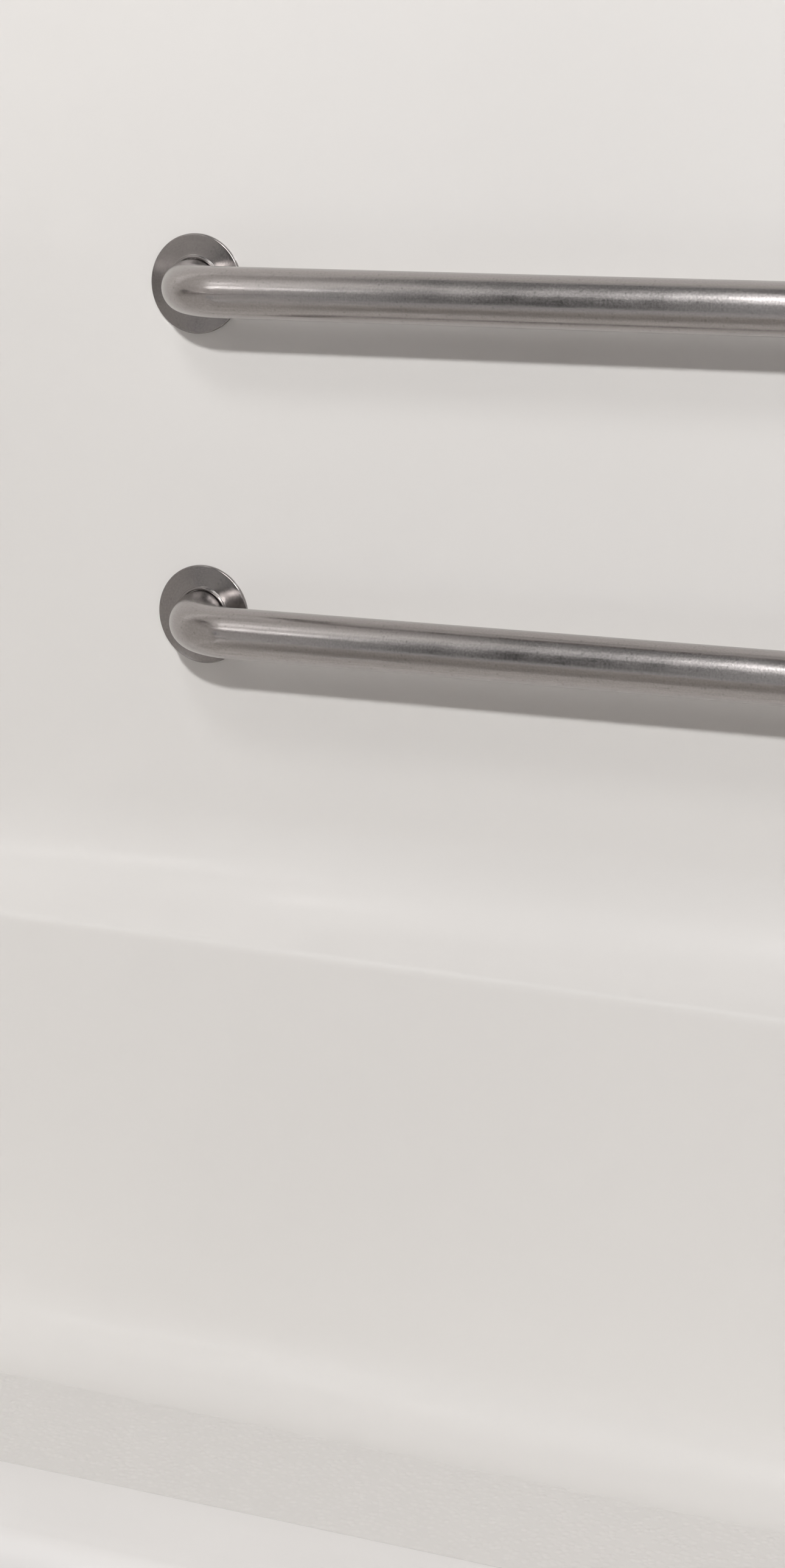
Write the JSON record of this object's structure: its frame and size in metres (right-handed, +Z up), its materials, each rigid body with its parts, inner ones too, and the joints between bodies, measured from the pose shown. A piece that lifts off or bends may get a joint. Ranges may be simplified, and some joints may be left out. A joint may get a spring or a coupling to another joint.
{
  "type": "transfer tub",
  "caption": "Moulded alcove bathtub and shower module with a raised transfer seat, horizontal grab bars, lever valve, spout, shower and trip lever waste.",
  "frame": {"origin": "on the floor at the middle of the module's 1524 by 914 mm footprint, at the underside of the middle base runner", "axes": "+X along the tub from the control wall to the transfer seat, +Y from the open side to the back wall, +Z up"},
  "size_m": [1.555, 0.914, 1.956],
  "materials": {
    "gelcoat": "gloss",
    "plywood": "raw",
    "satin_steel": "satin",
    "steel": "plain",
    "chrome": "polished",
    "brass": "plain",
    "rubber": "matte",
    "dark_plastic": "matte"
  },
  "bodies": {
    "module": {"moulded_shell": "gelcoat", "back_wall_backer": "plywood", "control_wall_backer": "plywood", "head_wall_backer": "plywood", "floor_board": "plywood", "base_runners": "plywood", "apron_stiffener": "plywood", "seat_supports": "plywood", "upper_bar_tube": "satin_steel", "upper_bar_plates": "satin_steel", "upper_bar_covers": "satin_steel", "upper_bar_screws": "steel", "lower_bar_tube": "satin_steel", "lower_bar_plates": "satin_steel", "lower_bar_covers": "satin_steel", "lower_bar_screws": "steel", "control_bar_tube": "satin_steel", "control_bar_plates": "satin_steel", "control_bar_covers": "satin_steel", "control_bar_screws": "steel", "drain_flange": "chrome", "drain_gasket": "rubber", "drain_strainer": "chrome", "strainer_screw": "chrome", "drain_shoe": "brass", "waste_arm": "brass", "waste_tee": "brass", "waste_slip_nuts": "chrome", "waste_slip_washers": "rubber", "overflow_tube": "brass", "overflow_head": "brass", "overflow_gasket": "rubber", "overflow_plate": "chrome", "overflow_screws": "chrome", "trip_pin": "steel", "valve_body": "brass", "valve_cartridge": "dark_plastic", "valve_sleeve": "chrome", "face_plate": "chrome", "face_plate_screws": "chrome", "spout_drop_pipe": "brass", "spout_elbow": "brass", "spout_nipple": "brass", "tub_spout": "chrome", "spout_set_screw": "steel", "riser_pipe": "brass", "shower_elbow": "brass", "shower_arm": "chrome", "arm_flange": "chrome"},
    "trip_lever": {"trip_lever": "chrome"},
    "trip_linkage": {"trip_linkage": "brass", "waste_plunger": "brass"},
    "valve_handle": {"valve_stem": "brass", "lever_handle": "chrome", "handle_screw": "chrome"},
    "diverter": {"diverter_knob": "chrome"},
    "shower_head": {"shower_head": "chrome", "spray_face": "dark_plastic"}
  },
  "joints": [
    {"name": "trip_lever_turn", "type": "hinge", "parent": "module", "child": "trip_lever", "pos_m": [-0.696, 0, 0.312], "axis": [0, 1, 0], "range_deg": [0, 32]},
    {"name": "plunger_lift", "type": "slide", "parent": "module", "child": "trip_linkage", "axis": [0, 0, 1], "range_m": [0, 0.0143]},
    {"name": "valve_handle_turn", "type": "hinge", "parent": "module", "child": "valve_handle", "pos_m": [-0.727, -0.15, 0.72], "axis": [1, 0, 0], "range_deg": [0, 150]},
    {"name": "diverter_pull", "type": "slide", "parent": "module", "child": "diverter", "axis": [0, 0, 1], "range_m": [0, 0.009]},
    {"name": "shower_head_tilt", "type": "hinge", "parent": "module", "child": "shower_head", "pos_m": [-0.57685, -0.15, 1.80141], "axis": [0, 1, 0], "range_deg": [-20, 20]}
  ],
  "couplings": [
    {"joint": "trip_lever_turn", "follows": "plunger_lift", "rad_per_m": 38.971}
  ]
}
